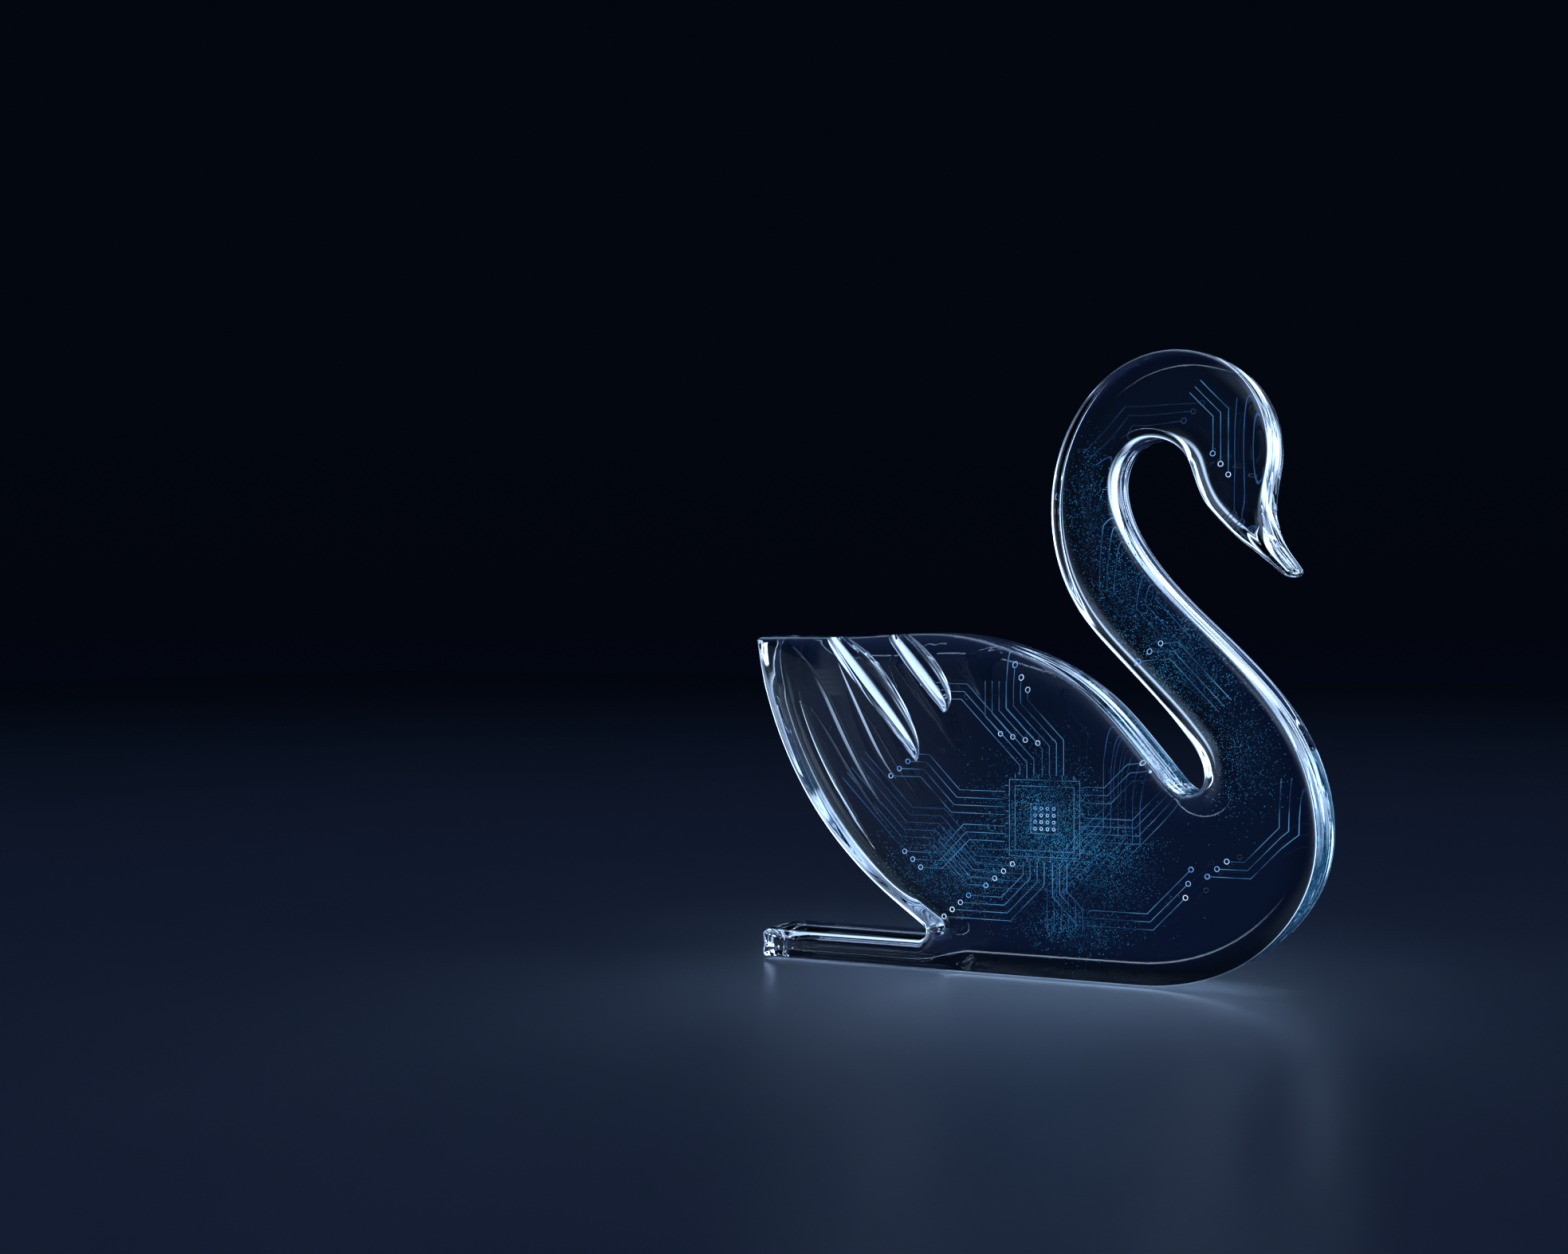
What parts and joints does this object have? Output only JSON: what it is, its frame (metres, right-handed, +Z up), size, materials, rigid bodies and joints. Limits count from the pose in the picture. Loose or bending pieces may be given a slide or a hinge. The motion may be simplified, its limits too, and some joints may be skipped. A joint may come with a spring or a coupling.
{
  "type": "glass swan figurine",
  "caption": "Swan cut from one thick slab of clear glass, with an S-shaped neck, engraved wing feathers and a flat foot bar.",
  "frame": {"origin": "centre of the overall box at the underside the figurine rests on", "axes": "+Z up, +X the way the beak points, +Y through the slab towards its uncut back face; the engraved front face looks along -Y"},
  "size_m": [0.1482, 0.02, 0.15],
  "materials": {
    "clear_glass": "clear, polished all over"
  },
  "bodies": {
    "root": {"swan": "clear_glass"}
  },
  "joints": []
}
